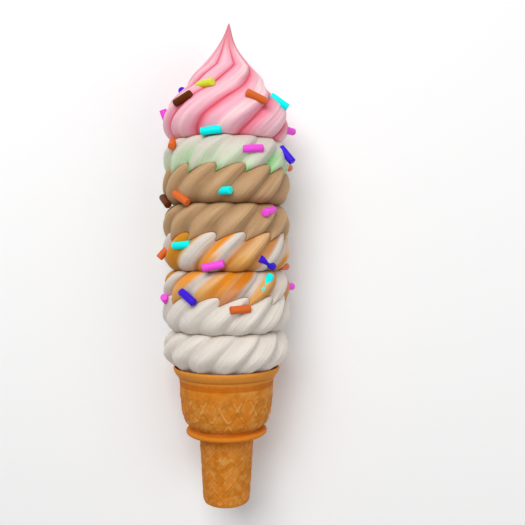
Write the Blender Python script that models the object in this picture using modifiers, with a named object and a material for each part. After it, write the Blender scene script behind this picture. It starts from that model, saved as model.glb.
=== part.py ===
"""Tall soft-serve ice cream: seven rolls and a peak in a moulded wafer cup, with sugar rods.

It can't stand unheld, so it lies on its side along +Y, with the peak towards +Y and the shown side up.
Angles run round the axis from the top (+Z) towards +X. Heights run along the axis from the wafer's base.
"""

import math
import random

import bmesh
import bpy
from mathutils import Matrix, Vector
from mathutils.bvhtree import BVHTree

MM = 0.001
GAP = 0.3  # between neighbours that touch, mm

# Wafer cup, mm
RIM_RADIUS = 30.2
RIM_HEIGHT = 77.5
CUP_RADIUS = 26.6
CUP_FOOT = 43.2
COLLAR_RADIUS = 22.9
STEM_TOP_RADIUS = 15.2
STEM_FOOT_RADIUS = 13.1
FOOT_ROUNDING = 2.0
WALL = 2.2
WAFER_STEPS = 36

# Soft-serve rolls, mm
ROLL_RADIUS = 36.3
CREASE_RADIUS = 29.7
OVERLAP_RADIUS = 33.3  # where a roll's fingers lie over the roll above
FINGER_STEP = 0.6
FINGER_RISE = 4.7
FINGER_TIP = 0.64  # place of the tip between two valleys
FINGER_ROUNDNESS = 1.9
FINGER_DROP = 0.7
LOBES = 13
COLUMN_PLACES = (0.0, 0.2, 0.42, 0.64, 0.86)  # places in a lobe, with one on its tip
LOBE_TWIST = 18.2  # height in which a lobe moves round by one place
LOBE_START = -7.3  # angle of a groove, in degrees, at the height LOBE_LEVEL
LOBE_LEVEL = 184.3
LOBE_BEND = 2.4  # degrees that a lobe's middle lags behind its ends
GROOVE = 2.7
GROOVE_SHARPNESS = 0.85
EDGE_GROOVE = 0.5  # share of the groove's depth that is left at an overlap
CREST = 0.58  # place of the crest between two grooves
ROLL_FULLNESS = 1.35
SEAT_FULLNESS = 0.95  # the lowest roll swells over the rim more steeply
SEAT_RADIUS = 25.0
SEAT_HEIGHT = 75.0
CORE_RADIUS = 24.0
PLUG_FLOOR_RADIUS = 20.5  # the lowest roll fills the cup down to its floor
PLUG_SHOULDER = 50.7
PLUG_TOP = 70.0
LIP_RADIUS = 29.2  # from here outwards an overlap is level along each line from the axis
BED = 34.6  # height of the axis above the surface, which flattens the rolls a little

# Each roll from the wafer up: name, flavour, height of its lower seam and of its widest part,
# whether its lower seam is overlapped by the roll below, and the shift of its grooves in lobes
ROLLS = (
    ("vanilla_roll_lower", "vanilla", SEAT_HEIGHT, 87.1, False, 0.4),
    ("vanilla_roll_upper", "vanilla", 98.0, 107.0, False, 0.0),
    ("caramel_roll_lower", "caramel", 113.6, 122.6, True, 0.4),
    ("caramel_roll_upper", "caramel", 131.8, 141.0, False, 0.0),
    ("chocolate_roll_lower", "chocolate", 147.9, 158.4, True, 0.4),
    ("chocolate_roll_upper", "chocolate", 168.3, 177.6, False, 0.0),
    ("mint_roll", "mint", 184.3, 195.6, True, 0.4),
)
PEAK = "strawberry_peak"
PEAK_SEAM = 204.3
PEAK_WIDEST = 214.6
PEAK_TIP = 273.0
PEAK_LOBES = 9
PEAK_COLUMNS_PER_LOBE = 6
PEAK_GROOVE = 3.7
PEAK_GROOVE_EASE = 0.8  # how the grooves grow shallower as the peak narrows
PEAK_RINGS = (0.0, 0.012, 0.05, 0.15, 0.24, 0.33, 0.41, 0.49, 0.57, 0.65, 0.74, 0.84, 0.94)
PEAK_START = -21.0  # angle of the groove that the others are counted from, in degrees
PEAK_SPREAD = 12.0  # how much wider apart the grooves are on one side, in degrees
PEAK_SPREAD_AT = 48.0
PEAK_TWIST = 92.0  # degrees that the grooves turn on their way up
PEAK_TWIST_END = 0.6  # share of the height at which they stop turning
PEAK_TWIST_EASE = 1.35
PEAK_LEAN = 1.2
PEAK_LEAN_FROM = 0.75  # share of the height from which the tip leans
PEAK_SLOPE = 2.15
PEAK_STRAIGHT_SHARE = 0.12
PEAK_TUCK = 0.065
PEAK_TUCK_AT = 0.43
PEAK_TUCK_WIDTH = 0.07
PEAK_SPIKE = 0.04

# Sugar rods, mm
ROD_LENGTH = 11.4
ROD_RADIUS = 2.1
ROD_SIDES = 6
ROD_STAND = 0.75  # height of a rod's middle above the surface it is stuck on

# Rods on the shown side: node, colour, angle in degrees, height, tilt in degrees, lift in degrees,
# and how high the middle stands above the surface
SHOWN_RODS = (
    (PEAK, "lemon", -23, 232.2, 1, 20, 1.5),
    (PEAK, "blue", -98, 233.0, 10, 8, -0.8),
    (PEAK, "brown", -43.5, 224.4, 19, 0, 1.0),
    (PEAK, "orange", 30, 223.7, -22, 0, ROD_STAND),
    (PEAK, "cyan", 68, 225.2, -60, 48, 0.3),
    (PEAK, "violet", -87, 217.4, 80, 20, 0.1),
    (PEAK, "cyan", -11.4, 206.2, 5, 0, ROD_STAND),
    (PEAK, "violet", 92, 211.6, 0, 38, 0.2),
    ("mint_roll", "orange", -56, 201.0, -30, 28, 0.5),
    ("mint_roll", "violet", 26, 196.4, 5, 4, 1.3),
    ("mint_roll", "blue", 66, 195.4, -90, 40, 0.6),
    ("mint_roll", "orange", 92, 190.8, 0, 20, -1.0),
    ("chocolate_roll_upper", "cyan", -1, 174.1, 0, 38, -0.8),
    ("chocolate_roll_upper", "orange", -41.5, 171.2, -32, 0, ROD_STAND),
    ("chocolate_roll_upper", "brown", -79, 170.6, -28, -14, 2.8),
    ("chocolate_roll_lower", "violet", 44, 163.9, 12, -20, 0.4),
    ("caramel_roll_upper", "cyan", -41.5, 145.8, 4, -12, 0.3),
    ("caramel_roll_upper", "orange", -77, 142.9, -90, 42, -0.6),
    ("caramel_roll_upper", "violet", -8.6, 135.2, 10, 0, ROD_STAND),
    ("caramel_roll_upper", "blue", 43.5, 135.9, -25, 0, -1.95),
    ("caramel_roll_upper", "orange", 92, 133.6, 0, 25, -0.2),
    ("caramel_roll_lower", "cyan", 41.6, 125.5, 46, -5, -2.25),
    ("caramel_roll_lower", "violet", 92, 122.0, 0, 38, -1.5),
    ("vanilla_roll_upper", "violet", -71, 115.0, 30, 26, -0.5),
    ("caramel_roll_lower", "blue", -31.5, 118.5, -31, 5, 3.2),
    ("vanilla_roll_upper", "orange", 14.4, 112.4, 0, 0, ROD_STAND),
)
ROD_COLOURS = ("orange", "cyan", "violet", "blue", "brown", "lemon")
HIDDEN_ROD_NODES = (
    ("vanilla_roll_upper", 2),
    ("caramel_roll_lower", 1),
    ("caramel_roll_upper", 2),
    ("chocolate_roll_lower", 1),
    ("chocolate_roll_upper", 2),
    ("mint_roll", 1),
    (PEAK, 4),
)
HIDDEN_ARC = (112.0, 132.0)  # angles on each side, clear of the surface that it lies on
HIDDEN_SEED = 11

COLOURS = {
    "wafer": (0.62, 0.27, 0.06),
    "vanilla": (0.80, 0.74, 0.67),
    "caramel": (0.80, 0.47, 0.17),
    "chocolate": (0.47, 0.31, 0.17),
    "mint": (0.66, 0.76, 0.60),
    "strawberry": (0.84, 0.40, 0.47),
    "orange": (0.68, 0.16, 0.04),
    "cyan": (0.00, 0.83, 0.80),
    "violet": (0.78, 0.09, 0.66),
    "blue": (0.05, 0.01, 0.58),
    "brown": (0.11, 0.03, 0.003),
    "lemon": (0.70, 0.72, 0.05),
}


def clear_scene():
    for obj in list(bpy.data.objects):
        bpy.data.objects.remove(obj)


def new_collection(name):
    collection = bpy.data.collections.new(name)
    bpy.context.scene.collection.children.link(collection)
    return collection


def material(name):
    """A plain finish in the colour of that flavour or sugar rod."""
    found = bpy.data.materials.get(name)
    if found:
        return found
    made = bpy.data.materials.new(name)
    made.use_nodes = True
    shader = made.node_tree.nodes["Principled BSDF"]
    shader.inputs["Base Color"].default_value = (*COLOURS[name], 1.0)
    shader.inputs["Roughness"].default_value = 0.75 if name == "wafer" else 0.45
    shader.inputs["Metallic"].default_value = 0.0
    return made


def smoothstep(value):
    value = min(1.0, max(0.0, value))
    return value * value * (3.0 - 2.0 * value)


def groove_depth(phase):
    """0 on a lobe's crest and 1 in the sharp groove between two lobes."""
    place = phase % 1.0
    if place < CREST:
        place = 0.5 * place / CREST
    else:
        place = 0.5 + 0.5 * (place - CREST) / (1.0 - CREST)
    return 1.0 - math.sin(math.pi * place) ** GROOVE_SHARPNESS


def on_axis(radius, angle, height):
    """The point at a radius and an angle in degrees round the axis, pressed flat on the surface."""
    turn = math.radians(angle)
    z = max(0.0, BED + radius * math.cos(turn))
    return Vector((radius * math.sin(turn), height, z)) * MM


def lobe_angle(phase, height):
    """The angle at which a lobe's line, counted in lobes, passes that height."""
    return LOBE_START + 360.0 / LOBES * (phase + (height - LOBE_LEVEL) / LOBE_TWIST)


def lobe_phase(column):
    """A column's place round the roll, counted in lobes."""
    lobe, step = divmod(column, len(COLUMN_PLACES))
    return lobe + COLUMN_PLACES[step]


def finger_height(seam, phase):
    """Where a roll's fingers end on the roll above: a climb to the round tip, then a steeper drop."""
    place = phase % 1.0
    climb = 1.0 - max(0.0, 1.0 - place / FINGER_TIP) ** FINGER_ROUNDNESS
    past_tip = max(0.0, place - FINGER_TIP) / (1.0 - FINGER_TIP)
    return seam + FINGER_RISE * climb * math.cos(math.pi / 2 * past_tip) ** FINGER_DROP


def lofted(name, ring_points, pole_points, columns):
    """A closed solid whose rings of points start as the rings of a UV sphere."""
    mesh = bpy.data.meshes.new(name)
    shape = bmesh.new()
    bands = len(ring_points) + 1
    bmesh.ops.create_uvsphere(shape, u_segments=columns, v_segments=bands, radius=1.0)
    for vertex in shape.verts:
        polar = math.acos(max(-1.0, min(1.0, vertex.co.z)))
        ring = bands - round(polar * bands / math.pi)
        if ring == 0 or ring == bands:
            vertex.co = pole_points[ring == bands]
            continue
        column = round(math.atan2(vertex.co.y, vertex.co.x) * columns / math.tau) % columns
        vertex.co = ring_points[ring - 1](column)
    bmesh.ops.triangulate(shape, faces=shape.faces, quad_method="SHORT_EDGE")
    bmesh.ops.recalc_face_normals(shape, faces=shape.faces)
    shape.to_mesh(mesh)
    shape.free()
    mesh.set_sharp_from_angle(angle=math.radians(50))
    return bpy.data.objects.new(name, mesh)


def roll(index):
    """One roll of soft serve between two seams, with twisted lobes."""
    name, flavour, seam, widest, lapped_below, shift = ROLLS[index]
    is_last = index + 1 == len(ROLLS)
    upper_seam = PEAK_SEAM if is_last else ROLLS[index + 1][2]
    lapped_above = not is_last and ROLLS[index + 1][4]
    in_cup = index == 0
    lower_edge = OVERLAP_RADIUS - FINGER_STEP if lapped_below else CREASE_RADIUS
    if in_cup:
        lower_edge = SEAT_RADIUS
    upper_edge = OVERLAP_RADIUS if lapped_above else CREASE_RADIUS
    lower_gap = 0.0 if in_cup else GAP / 2

    def bottom(phase):
        edge = finger_height(seam, phase) if lapped_below else seam
        return edge + lower_gap

    def top(phase):
        edge = finger_height(upper_seam, phase) if lapped_above else upper_seam
        return edge - GAP / 2

    def wall(share):
        """A ring of the wall, with share from -1 at the lower edge to 1 at the upper edge."""
        lapped = lapped_above if share > 0 else lapped_below
        groove = GROOVE * (1.0 - (1.0 - EDGE_GROOVE) * abs(share) ** 4 * lapped)
        bend = LOBE_BEND * (1.0 - share * share)

        def point(column):
            phase = lobe_phase(column)
            end = top(phase) if share > 0 else bottom(phase)
            height = widest + abs(share) * (end - widest)
            edge = upper_edge if share > 0 else lower_edge
            bulge = math.sqrt(max(0.0, 1.0 - share * share)) ** ROLL_FULLNESS
            if in_cup and share < 0:
                bulge = math.sin(math.pi / 2 * (1.0 + share)) ** SEAT_FULLNESS
            radius = edge + (ROLL_RADIUS - edge) * bulge
            radius -= groove * groove_depth(phase + shift)
            return on_axis(radius, lobe_angle(phase, height) - bend, height)

        return point

    def inner(radius, height):
        """A round ring inside the roll."""
        def point(column):
            return on_axis(radius, lobe_angle(lobe_phase(column), height), height)

        return point

    def lip(edge):
        """The ring inside an overlap, as high as the fingers."""
        def point(column):
            phase = lobe_phase(column)
            height = edge(phase)
            return on_axis(LIP_RADIUS, lobe_angle(phase, height), height)

        return point

    shares = [math.sin(math.radians(step)) for step in range(-90, 91, 30)]
    rings = [wall(share) for share in shares]
    low, high = seam + lower_gap, upper_seam - GAP / 2
    if lapped_below:
        rings[0:0] = [inner(CORE_RADIUS, low), lip(bottom)]
    if lapped_above:
        rings += [lip(top), inner(CORE_RADIUS, high)]
    if in_cup:
        rings[0:1] = [wall(-0.999)]
        floor = CUP_FOOT + WALL + GAP
        rings[0:0] = [
            inner(PLUG_FLOOR_RADIUS, floor),
            inner(CORE_RADIUS, PLUG_SHOULDER),
            inner(CORE_RADIUS, PLUG_TOP),
        ]
        low = floor
    poles = (on_axis(0.0, 0.0, low), on_axis(0.0, 0.0, high))
    made = lofted(name, rings, poles, LOBES * len(COLUMN_PLACES))
    made.data.materials.append(material(flavour))
    return made


def peak_radius(share):
    """Radius of the peak's crests at a share of the way from its seam to its tip."""
    widest = (PEAK_WIDEST - PEAK_SEAM) / (PEAK_TIP - PEAK_SEAM)
    if share < widest:
        bulge = math.sqrt(1.0 - (1.0 - share / widest) ** 2) ** ROLL_FULLNESS
        return CREASE_RADIUS + (ROLL_RADIUS - CREASE_RADIUS) * bulge
    climb = (share - widest) / (1.0 - widest)
    cone = PEAK_STRAIGHT_SHARE * (1.0 - climb)
    swell = (1.0 - PEAK_STRAIGHT_SHARE) * math.cos(math.pi * climb / 2) ** PEAK_SLOPE
    tuck = PEAK_TUCK * math.exp(-(((share - PEAK_TUCK_AT) / PEAK_TUCK_WIDTH) ** 2))
    spike = PEAK_SPIKE * climb**2 * (1.0 - climb**16)
    return ROLL_RADIUS * (cone + swell - tuck + spike)


def peak():
    """The last turn of soft serve, drawn up to a thin tip."""
    columns = PEAK_LOBES * PEAK_COLUMNS_PER_LOBE

    def ring_at(share):
        def point(column):
            phase = column / PEAK_COLUMNS_PER_LOBE
            height = PEAK_SEAM + GAP / 2 + share * (PEAK_TIP - PEAK_SEAM - GAP / 2)
            turn = PEAK_TWIST * min(1.0, share / PEAK_TWIST_END) ** PEAK_TWIST_EASE
            angle = 360.0 * phase / PEAK_LOBES
            angle += PEAK_SPREAD * math.sin(math.radians(angle - PEAK_SPREAD_AT))
            radius = peak_radius(share)
            radius -= PEAK_GROOVE * groove_depth(phase) * (radius / ROLL_RADIUS) ** PEAK_GROOVE_EASE
            made = on_axis(radius, PEAK_START + angle + turn, height)
            lean = smoothstep((share - PEAK_LEAN_FROM) / (1.0 - PEAK_LEAN_FROM))
            made.x += PEAK_LEAN * lean * MM
            return made

        return point

    tip = on_axis(0.0, 0.0, PEAK_TIP) + Vector((PEAK_LEAN * MM, 0.0, 0.0))
    poles = (on_axis(0.0, 0.0, PEAK_SEAM + GAP / 2), tip)
    made = lofted(PEAK, [ring_at(share) for share in PEAK_RINGS], poles, columns)
    made.data.materials.append(material("strawberry"))
    return made


def wafer():
    """The wafer cup, turned about its axis: solid stem, collar, cup wall and flared rim."""
    cup_inside = CUP_RADIUS - WALL
    floor = CUP_FOOT + WALL
    outline = (
        (0.0, 0.0),
        (STEM_FOOT_RADIUS - FOOT_ROUNDING, 0.0),
        (STEM_FOOT_RADIUS - 0.6, 0.6),
        (STEM_FOOT_RADIUS, FOOT_ROUNDING),
        (STEM_TOP_RADIUS, 37.6),
        (STEM_TOP_RADIUS + 1.0, 38.6),
        (COLLAR_RADIUS - 0.8, 39.4),
        (COLLAR_RADIUS, 40.2),
        (COLLAR_RADIUS, 41.2),
        (COLLAR_RADIUS - 0.8, 42.0),
        (18.6, 42.6),
        (18.9, CUP_FOOT + 0.1),
        (21.0, CUP_FOOT + 0.9),
        (23.2, 46.6),
        (24.7, 50.6),
        (25.6, 56.0),
        (26.3, 62.0),
        (CUP_RADIUS, 68.0),
        (CUP_RADIUS + 0.2, 70.4),
        (28.2, 72.4),
        (29.7, 74.8),
        (RIM_RADIUS, 76.4),
        (RIM_RADIUS - 0.2, 77.2),
        (RIM_RADIUS - 0.7, RIM_HEIGHT),
        (29.2, 77.1),
        (27.9, 75.0),
        (25.4, 72.0),
        (cup_inside, 70.2),
        (cup_inside, 50.2),
        (21.0, floor + 0.3),
        (20.0, floor),
        (0.0, floor),
    )
    mesh = bpy.data.meshes.new("wafer_cup")
    shape = bmesh.new()
    points = [shape.verts.new((radius * MM, 0.0, height * MM)) for radius, height in outline]
    for first, second in zip(points, points[1:]):
        shape.edges.new((first, second))
    shape.to_mesh(mesh)
    shape.free()
    turned = bpy.data.objects.new("wafer_cup", mesh)
    screw = turned.modifiers.new("turn", "SCREW")
    screw.axis = "Z"
    screw.angle = math.tau
    screw.steps = screw.render_steps = WAFER_STEPS
    screw.use_merge_vertices = True
    screw.merge_threshold = 0.00001
    screw.use_smooth_shade = True
    screw.use_normal_flip = True
    mesh.materials.append(material("wafer"))
    turned.matrix_world = Matrix.Translation((0.0, 0.0, BED * MM)) @ Matrix.Rotation(
        -math.pi / 2, 4, "X"
    )
    return turned


def surface_at(node, angle, height):
    """Where a line from outside towards the axis meets the node, and the way the surface faces."""
    graph = bpy.context.evaluated_depsgraph_get()
    tree = BVHTree.FromObject(node, graph)
    axis_point = on_axis(0.0, 0.0, height)
    turn = math.radians(angle)
    outwards = Vector((math.sin(turn), 0.0, math.cos(turn)))
    hit, facing, _, _ = tree.ray_cast(axis_point + outwards * (2 * ROLL_RADIUS * MM), -outwards)
    return hit, facing, outwards


def sugar_rod(node, colour, angle, height, tilt, lift, stand):
    """One sugar rod, stuck on a node at an angle and a height and tilted along the surface."""
    hit, facing, outwards = surface_at(node, angle, height)
    facing = outwards if lift else (facing + outwards).normalized()
    up_axis = Vector((0.0, 1.0, 0.0))
    across = up_axis.cross(outwards).normalized()
    lean = math.radians(tilt)
    along = across * math.cos(lean) + up_axis * math.sin(lean)
    along = (along - facing * along.dot(facing)).normalized()
    along = (along + facing * math.tan(math.radians(lift))).normalized()
    mesh = bpy.data.meshes.new("rod")
    shape = bmesh.new()
    bmesh.ops.create_cone(
        shape,
        cap_ends=True,
        segments=ROD_SIDES,
        radius1=ROD_RADIUS * MM,
        radius2=ROD_RADIUS * MM,
        depth=ROD_LENGTH * MM,
    )
    shape.to_mesh(mesh)
    shape.free()
    mesh.materials.append(material(colour))
    rod = bpy.data.objects.new("rod", mesh)
    middle = hit + facing * (stand * MM)
    rod.matrix_world = Matrix.Translation(middle) @ along.to_track_quat("Z", "Y").to_matrix().to_4x4()
    return rod


def hidden_rods():
    """Rods for the far side, spread with a seeded draw."""
    draw = random.Random(HIDDEN_SEED)
    middles = {row[0]: row[3] for row in ROLLS}
    middles[PEAK] = PEAK_WIDEST
    for node, count in HIDDEN_ROD_NODES:
        for number in range(count):
            side = 1 if number % 2 else -1
            angle = side * draw.uniform(*HIDDEN_ARC)
            rise = 8.0 * (number // 2)
            height = middles[node] + rise + draw.uniform(-2.0, 2.0)
            colour = draw.choice(ROD_COLOURS)
            yield node, colour, angle, height, draw.uniform(-35, 35), 0, ROD_STAND


def fuse_rods(node, rods):
    """Joins the rods to the node they lie on, with one union."""
    gathered = new_collection("rods")
    for rod in rods:
        gathered.objects.link(rod)
    union = node.modifiers.new("rods", "BOOLEAN")
    union.operation = "UNION"
    union.operand_type = "COLLECTION"
    union.collection = gathered
    union.solver = "EXACT"
    union.material_mode = "TRANSFER"
    graph = bpy.context.evaluated_depsgraph_get()
    fused = bpy.data.meshes.new_from_object(node.evaluated_get(graph))
    node.modifiers.clear()
    node.data = fused
    for rod in rods:
        bpy.data.objects.remove(rod)
    bpy.data.collections.remove(gathered)


def centre_on_origin(objects):
    """Moves everything so that the origin is at the bottom centre of the whole object's box."""
    bpy.context.view_layer.update()
    graph = bpy.context.evaluated_depsgraph_get()
    corners = []
    for obj in objects:
        evaluated = obj.evaluated_get(graph)
        corners += [evaluated.matrix_world @ Vector(corner) for corner in evaluated.bound_box]
    across = (min(c.x for c in corners) + max(c.x for c in corners)) / 2
    along = (min(c.y for c in corners) + max(c.y for c in corners)) / 2
    for obj in objects:
        obj.matrix_world = Matrix.Translation((-across, -along, 0.0)) @ obj.matrix_world


def main():
    clear_scene()
    ice_cream = new_collection("ice_cream_cone")
    nodes = [wafer()] + [roll(index) for index in range(len(ROLLS))] + [peak()]
    for node in nodes:
        ice_cream.objects.link(node)
    bpy.context.view_layer.update()
    by_name = {node.name: node for node in nodes}
    rods = {}
    for entry in (*SHOWN_RODS, *hidden_rods()):
        rods.setdefault(entry[0], []).append(sugar_rod(by_name[entry[0]], *entry[1:]))
    for name, stuck in rods.items():
        fuse_rods(by_name[name], stuck)
    centre_on_origin(nodes)


main()
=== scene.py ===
"""Looks for the soft-serve ice cream: twisted rolls, a drawn-up peak, a wafer cup and sugar rods."""

import math
import random

import bmesh
import bpy
from bpy.props import BoolProperty, FloatProperty, FloatVectorProperty
from bpy.props import IntProperty, PointerProperty
from mathutils import Matrix, Vector
from mathutils.bvhtree import BVHTree


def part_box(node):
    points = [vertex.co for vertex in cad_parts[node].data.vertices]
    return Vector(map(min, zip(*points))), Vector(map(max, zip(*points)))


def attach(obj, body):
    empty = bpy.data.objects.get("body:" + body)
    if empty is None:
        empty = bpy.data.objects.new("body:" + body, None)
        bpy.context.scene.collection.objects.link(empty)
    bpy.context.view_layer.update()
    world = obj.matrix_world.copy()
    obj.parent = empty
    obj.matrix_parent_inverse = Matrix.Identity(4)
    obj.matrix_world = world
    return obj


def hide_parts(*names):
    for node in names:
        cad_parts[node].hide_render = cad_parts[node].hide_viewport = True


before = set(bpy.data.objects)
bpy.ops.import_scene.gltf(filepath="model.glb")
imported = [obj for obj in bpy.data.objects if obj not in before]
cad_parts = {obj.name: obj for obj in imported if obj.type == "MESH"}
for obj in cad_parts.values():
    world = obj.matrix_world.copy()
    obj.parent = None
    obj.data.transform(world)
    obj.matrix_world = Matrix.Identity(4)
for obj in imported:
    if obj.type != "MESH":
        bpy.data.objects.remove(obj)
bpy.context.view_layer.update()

bl_info = {
    "name": "Soft-serve ice cream cone",
    "version": (1, 0, 0),
    "blender": (4, 5, 0),
    "location": "View3D > Sidebar > Ice cream",
    "description": "Dresses the lying cone with ridged rolls, a pressed wafer cup and sugar rods",
    "category": "Object",
}

MM = 0.001
BODY = "root"

# The wafer cup's box gives the place of the common axis and of the cup's foot.
CUP_LOW, CUP_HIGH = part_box("wafer_cup")
AXIS_X = (CUP_LOW[0] + CUP_HIGH[0]) / 2
AXIS_Z = (CUP_LOW[2] + CUP_HIGH[2]) / 2
FOOT_Y = CUP_LOW[1]

# Lengths here are in millimetres. Heights are measured along the axis from the wafer's foot.
LOBES = 13
PEAK_LOBES = 9
LOBE_STEP = math.tau / LOBES
LOBE_START = math.radians(-7.3)
LOBE_LEVEL = 184.3
LOBE_CREST = 0.58
SECOND_FURROW = 0.9
GAP = 0.3
RESTING_LEVEL = 0.02
LEAST_RADIUS = 0.02

# The lowest roll's seat in the cup, each roll's hidden core, the lip that its caps reach in to, and
# the plug that fills the cup: its shoulder's height, its floor's radius and its floor's height
SEAT_RADIUS = 25.0
SEAT_HEIGHT = 75.0
CORE_RADIUS = 24.0
LIP_RADIUS = 29.2
PLUG_SHOULDER = 50.7
PLUG_FLOOR_RADIUS = 20.5
CUP_FLOOR = 45.7

# The share of a ball's rows that its caps take, and how near to all a share counts as all
ROLL_CAP = 0.1
PEAK_CAP = 0.06
NEARLY_ALL = 0.9999

# The fingers' tip within a lobe, how round they climb to it and how they drop behind it
FINGER_TIP = 0.64
FINGER_ROUNDNESS = 1.9
FINGER_DROP = 0.7

# How far the painted crease shade reaches above and below its seam
CREASE_SHADE_ABOVE = 5.0
CREASE_SHADE_BELOW = 1.6

# Zones of the wafer by height: where each starts, is full, begins to fade and ends
STEM_RIBS = (1.5, 3.5, 34.5, 36.5)
COLLAR = (38.2, 39.0, 42.2, 42.8)
CUP_RIBS = (44.6, 46.2, 60.5, 63.5)
BAND_LINE = (66.2, 66.8, 67.0, 67.6)
BAND = (66.6, 67.6, 69.4, 70.6)
RIM_LINE = (71.2, 71.8, 72.0, 72.6)
RIM_EDGE = (71.3, 71.9, 72.1, 72.9)
INSIDE_FROM = 49.0

# Each roll from the wafer up: node, flavour, height of its lower seam and of its widest part,
# whether the roll below laps over its lower seam, and the shift of its grooves in lobes
ROLLS = (
    ("vanilla_roll_lower", "vanilla", SEAT_HEIGHT, 87.1, False, 0.4),
    ("vanilla_roll_upper", "vanilla", 98.0, 107.0, False, 0.0),
    ("caramel_roll_lower", "caramel", 113.6, 122.6, True, 0.4),
    ("caramel_roll_upper", "caramel", 131.8, 141.0, False, 0.0),
    ("chocolate_roll_lower", "chocolate", 147.9, 158.4, True, 0.4),
    ("chocolate_roll_upper", "chocolate", 168.3, 177.6, False, 0.0),
    ("mint_roll", "mint", 184.3, 195.6, True, 0.4),
)
PEAK = "strawberry_peak"
PEAK_SEAM = 204.3
PEAK_WIDEST = 214.6
PEAK_TIP = 273.0
SLOTS = {row[0]: row[0].replace("_roll", "") for row in ROLLS}
SLOTS[PEAK] = "strawberry"
# The seam below each flavour's upper roll, where painted shade darkens the crease over the roll under
# it
CREASE_SHADE_SEAMS = {row[1]: row[2] for row in ROLLS if row[0].endswith("_upper")}

# Sugar rods: node, colour, angle round the axis, height, tilt and lift in degrees, and how far the
# rod's middle stands above the surface
ROD_STAND = 0.75
SHOWN_RODS = (
    (PEAK, "lemon", -23, 232.2, 1, 20, 1.5),
    (PEAK, "blue", -98, 233.0, 10, 8, -0.8),
    (PEAK, "brown", -43.5, 224.4, 19, 0, 1.0),
    (PEAK, "orange", 30, 223.7, -22, 0, ROD_STAND),
    (PEAK, "cyan", 68, 225.2, -60, 48, 0.3),
    (PEAK, "violet", -87, 217.4, 80, 20, 0.1),
    (PEAK, "cyan", -11.4, 206.2, 5, 0, ROD_STAND),
    (PEAK, "violet", 92, 211.6, 0, 38, 0.2),
    ("mint_roll", "orange", -56, 201.0, -30, 28, 0.5),
    ("mint_roll", "violet", 26, 196.4, 5, 4, 1.3),
    ("mint_roll", "blue", 66, 195.4, -90, 40, 0.6),
    ("mint_roll", "orange", 92, 190.8, 0, 20, -1.0),
    ("chocolate_roll_upper", "cyan", -1, 174.1, 0, 38, -0.8),
    ("chocolate_roll_upper", "orange", -41.5, 171.2, -32, 0, ROD_STAND),
    ("chocolate_roll_upper", "brown", -79, 170.6, -28, -14, 2.8),
    ("chocolate_roll_lower", "violet", 44, 163.9, 12, -20, 0.4),
    ("caramel_roll_upper", "cyan", -41.5, 145.8, 4, -12, 0.3),
    ("caramel_roll_upper", "orange", -77, 142.9, -90, 42, -0.6),
    ("caramel_roll_upper", "violet", -8.6, 135.2, 10, 0, ROD_STAND),
    ("caramel_roll_upper", "blue", 43.5, 135.9, -25, 0, -1.95),
    ("caramel_roll_upper", "orange", 92, 133.6, 0, 25, -0.2),
    ("caramel_roll_lower", "cyan", 41.6, 125.5, 46, -5, -2.25),
    ("caramel_roll_lower", "violet", 92, 122.0, 0, 38, -1.5),
    ("vanilla_roll_upper", "violet", -71, 115.0, 30, 26, -0.5),
    ("caramel_roll_lower", "blue", -31.5, 118.5, -31, 5, 3.2),
    ("vanilla_roll_upper", "orange", 14.4, 112.4, 0, 0, ROD_STAND),
)

# Strokes along the lobes: middle and half width in lobes, colour, strength at the bottom and at the top
CARAMEL_STROKES = {
    "caramel_roll_lower": (
        (0.35, 0.30, "caramel_gold", 0.8, 1.0),
        (1.75, 0.16, "caramel_tan", 0.9, 1.0),
        (2.15, 0.30, "caramel_soft", 1.0, 0.6),
        (2.16, 0.22, "caramel", 0.0, 0.9),
        (3.18, 0.25, "caramel_soft", 1.0, 0.85),
        (3.57, 0.24, "caramel", 0.9, 1.0),
        (4.08, 0.24, "caramel_deep", 0.8, 1.0),
        (3.81, 0.05, "caramel_gold", 0.9, 1.0),
        (5.03, 0.22, "caramel_soft", 1.0, 0.9),
        (5.42, 0.20, "caramel_gold", 1.0, 0.9),
    ),
    "caramel_roll_upper": (
        (0.60, 0.52, "caramel_gold", 1.0, 1.0),
        (0.35, 0.22, "caramel", 0.1, 0.9),
        (1.22, 0.13, "caramel_soft", 0.7, 1.0),
        (2.10, 0.12, "caramel_tan", 1.0, 0.7),
        (2.50, 0.16, "caramel_soft", 1.0, 0.0),
        (2.32, 0.14, "caramel", 0.9, 1.0),
        (3.14, 0.17, "caramel_tan", 1.0, 0.9),
        (3.55, 0.32, "caramel_soft", 1.0, 0.75),
        (3.94, 0.11, "caramel_gold", 1.0, 0.7),
        (4.15, 0.19, "caramel_tan", 0.85, 0.9),
        (5.35, 0.17, "caramel_gold", 1.0, 0.4),
    ),
}
MINT_STROKES = (
    (-2.40, 0.75, "mint_pale", 0.75, 0.0),
    (-1.60, 0.45, "mint_pale", 1.0, 0.1),
    (-1.27, 0.07, "mint_green", 0.8, 0.0),
    (-0.55, 0.32, "mint_pale", 0.9, 0.1),
    (0.50, 0.62, "mint_pale", 0.75, 0.0),
    (1.95, 0.45, "mint_pale", 1.0, 0.1),
    (1.68, 0.20, "mint_green", 0.9, 0.0),
    (2.60, 0.40, "mint_pale", 0.9, 0.1),
)
ROD_COLOURS = ("orange", "cyan", "violet", "blue", "brown", "lemon")
HIDDEN_ROD_NODES = (
    ("vanilla_roll_upper", 2),
    ("caramel_roll_lower", 1),
    ("caramel_roll_upper", 2),
    ("chocolate_roll_lower", 1),
    ("chocolate_roll_upper", 2),
    ("mint_roll", 1),
    (PEAK, 4),
)
HIDDEN_ARC = (112.0, 132.0)
HIDDEN_SEED = 11
HIDDEN_RISE = 8.0
HIDDEN_SPREAD = 2.0
HIDDEN_TILT = 35
RAY_START = 0.08


def math_method(operation, swapped=False):
    """A method that joins a field to other numbers by one Math node."""

    def method(self, *others):
        values = (*others, self) if swapped else (self, *others)
        return self.tree.number(operation, *values)

    return method


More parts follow.
